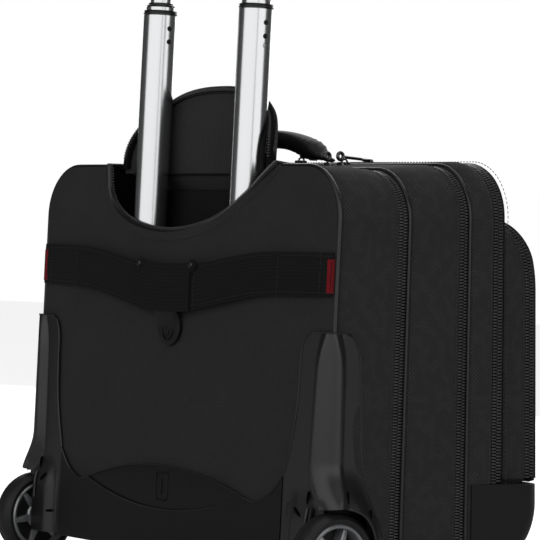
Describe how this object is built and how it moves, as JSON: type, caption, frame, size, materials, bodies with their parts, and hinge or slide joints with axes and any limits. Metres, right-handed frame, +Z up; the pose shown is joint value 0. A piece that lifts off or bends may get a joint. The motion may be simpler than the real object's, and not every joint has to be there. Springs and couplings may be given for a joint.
{
  "type": "rolling laptop case",
  "caption": "Soft zipped laptop case on a pair of back wheels, with a telescopic handle in a flapped well, a carry handle and a sleeve strap.",
  "frame": {"origin": "middle of the object's footprint, on the ground", "axes": "+Z up along the handle tubes, +Y towards the back with the wheels and handle, +X towards the case's left side seen from its front"},
  "size_m": [0.472, 0.286, 0.776],
  "materials": {
    "back_fabric": "plain polyester pack cloth, padded",
    "side_fabric": "dobby nylon with a fine dotted weave",
    "webbing": "flat woven webbing",
    "padding": "padded, smooth coated fabric",
    "lining": "thin grey lining on foam",
    "moulding": "satin moulded plastic",
    "boot_moulding": "coated fabric-faced moulding",
    "board": "fluted plastic sheet",
    "aluminium": "drawn and brushed, clear anodised",
    "steel": "zinc plated",
    "rubber": "soft black rubber",
    "rim_silver": "silver painted plastic",
    "zip_coil": "nylon coil with a fine sheen",
    "zip_metal": "gunmetal plated"
  },
  "bodies": {
    "root": {"back_panel": "back_fabric", "rear_gusset": "side_fabric", "back_board": "board", "laptop_sleeve": "lining", "well_bezel": "moulding", "tube_foot_bracket": "moulding", "kick_plate": "moulding", "kick_plate_inlay": "moulding", "back_strap": "webbing", "strap_pull_tab": "rubber", "wheel_guard_left": "moulding", "wheel_guard_right": "moulding", "axle_left": "steel", "axle_right": "steel", "fixed_tube_left": "aluminium", "fixed_tube_right": "aluminium"},
    "wheel_left": {"tyre_left": "rubber", "rim_left": "rim_silver", "bearing_left": "steel", "hub_cap_left": "moulding"},
    "wheel_right": {"tyre_right": "rubber", "rim_right": "rim_silver", "bearing_right": "steel", "hub_cap_right": "moulding"},
    "handle_stage1": {"stage1_tube_left": "aluminium", "stage1_tube_right": "aluminium", "stage1_collar_left": "moulding", "stage1_collar_right": "moulding"},
    "handle_stage2": {"stage2_tube_left": "aluminium", "stage2_tube_right": "aluminium", "stage2_collar_left": "moulding", "stage2_collar_right": "moulding"},
    "handle_stage3": {"stage3_tube_left": "aluminium", "stage3_tube_right": "aluminium", "grip": "moulding"},
    "release_button": {"release_button": "moulding"},
    "well_flap": {"well_flap": "back_fabric"},
    "main_section": {"middle_gusset": "side_fabric", "zip1_chain": "zip_coil"},
    "front_section": {"front_gusset": "side_fabric", "boot": "boot_moulding", "front_foot_left": "rubber", "front_foot_right": "rubber", "zip2_chain": "zip_coil"},
    "face_section": {"front_face": "side_fabric", "zip3_chain": "zip_coil"},
    "pocket_lid": {"pocket_panel": "side_fabric", "zip4_chain": "zip_coil"},
    "carry_handle": {"carry_handle": "padding"},
    "zip1_slider_a": {"zip1_slider_a": "zip_metal"},
    "zip1_pull_a": {"zip1_pull_a": "zip_metal"},
    "zip1_slider_b": {"zip1_slider_b": "zip_metal"},
    "zip1_pull_b": {"zip1_pull_b": "zip_metal"},
    "zip2_slider": {"zip2_slider": "zip_metal"},
    "zip2_pull": {"zip2_pull": "zip_metal"},
    "zip3_slider": {"zip3_slider": "zip_metal"},
    "zip4_slider": {"zip4_slider": "zip_metal"}
  },
  "joints": [
    {"name": "wheel_left_spin", "type": "hinge", "parent": "root", "child": "wheel_left", "pos_m": [0.221, 0.103, 0.04], "axis": [1, 0, 0], "continuous": true},
    {"name": "wheel_right_spin", "type": "hinge", "parent": "root", "child": "wheel_right", "pos_m": [-0.221, 0.103, 0.04], "axis": [1, 0, 0], "continuous": true},
    {"name": "handle_stage1_slide", "type": "slide", "parent": "root", "child": "handle_stage1", "axis": [0, 0, 1], "range_m": [-0.19, 0]},
    {"name": "handle_stage2_slide", "type": "slide", "parent": "handle_stage1", "child": "handle_stage2", "axis": [0, 0, 1], "range_m": [0, 0.2]},
    {"name": "handle_stage3_slide", "type": "slide", "parent": "handle_stage2", "child": "handle_stage3", "axis": [0, 0, 1], "range_m": [-0.219, 0]},
    {"name": "release_button_press", "type": "slide", "parent": "handle_stage3", "child": "release_button", "axis": [0, 0, -1], "range_m": [0, 0.003], "stiffness_N_per_m": 900},
    {"name": "well_flap_swing", "type": "hinge", "parent": "root", "child": "well_flap", "pos_m": [0, 0.075, 0.361], "axis": [1, 0, 0], "range_deg": [0, 30]},
    {"name": "main_section_swing", "type": "hinge", "parent": "root", "child": "main_section", "pos_m": [0, 0.02891, 0.026], "axis": [1, 0, 0], "range_deg": [0, 85]},
    {"name": "front_section_swing", "type": "hinge", "parent": "main_section", "child": "front_section", "pos_m": [0, -0.04576, 0.026], "axis": [1, 0, 0], "range_deg": [0, 80]},
    {"name": "face_section_swing", "type": "hinge", "parent": "front_section", "child": "face_section", "pos_m": [0, -0.1433, 0.1035], "axis": [1, 0, 0], "range_deg": [0, 35]},
    {"name": "pocket_lid_swing", "type": "hinge", "parent": "face_section", "child": "pocket_lid", "pos_m": [0, -0.1433, 0.1035], "axis": [1, 0, 0], "range_deg": [0, 35]},
    {"name": "carry_handle_swing", "type": "hinge", "parent": "main_section", "child": "carry_handle", "pos_m": [0, 0.014, 0.379], "axis": [1, 0, 0], "range_deg": [-40, 40]},
    {"name": "zip1_slider_a_run", "type": "slide", "parent": "main_section", "child": "zip1_slider_a", "axis": [1, 0, 0], "range_m": [0, 0.25]},
    {"name": "zip1_pull_a_flop", "type": "hinge", "parent": "zip1_slider_a", "child": "zip1_pull_a", "pos_m": [-0.108, 0.03653, 0.37903], "axis": [0, 1, 0], "range_deg": [-80, 80]},
    {"name": "zip1_slider_b_run", "type": "slide", "parent": "main_section", "child": "zip1_slider_b", "axis": [1, 0, 0], "range_m": [-0.034, 0]},
    {"name": "zip1_pull_b_flop", "type": "hinge", "parent": "zip1_slider_b", "child": "zip1_pull_b", "pos_m": [-0.126, 0.03653, 0.37903], "axis": [0, 1, 0], "range_deg": [-80, 80]},
    {"name": "zip2_slider_run", "type": "slide", "parent": "front_section", "child": "zip2_slider", "axis": [1, 0, 0], "range_m": [-0.06, 0.19]},
    {"name": "zip2_pull_flop", "type": "hinge", "parent": "zip2_slider", "child": "zip2_pull", "pos_m": [-0.05, -0.03104, 0.38596], "axis": [0, 1, 0], "range_deg": [0, 150]},
    {"name": "zip3_slider_run", "type": "slide", "parent": "face_section", "child": "zip3_slider", "axis": [1, 0, 0], "range_m": [-0.18, 0.09]},
    {"name": "zip4_slider_run", "type": "slide", "parent": "pocket_lid", "child": "zip4_slider", "axis": [1, 0, 0], "range_m": [-0.16, 0.11]}
  ]
}
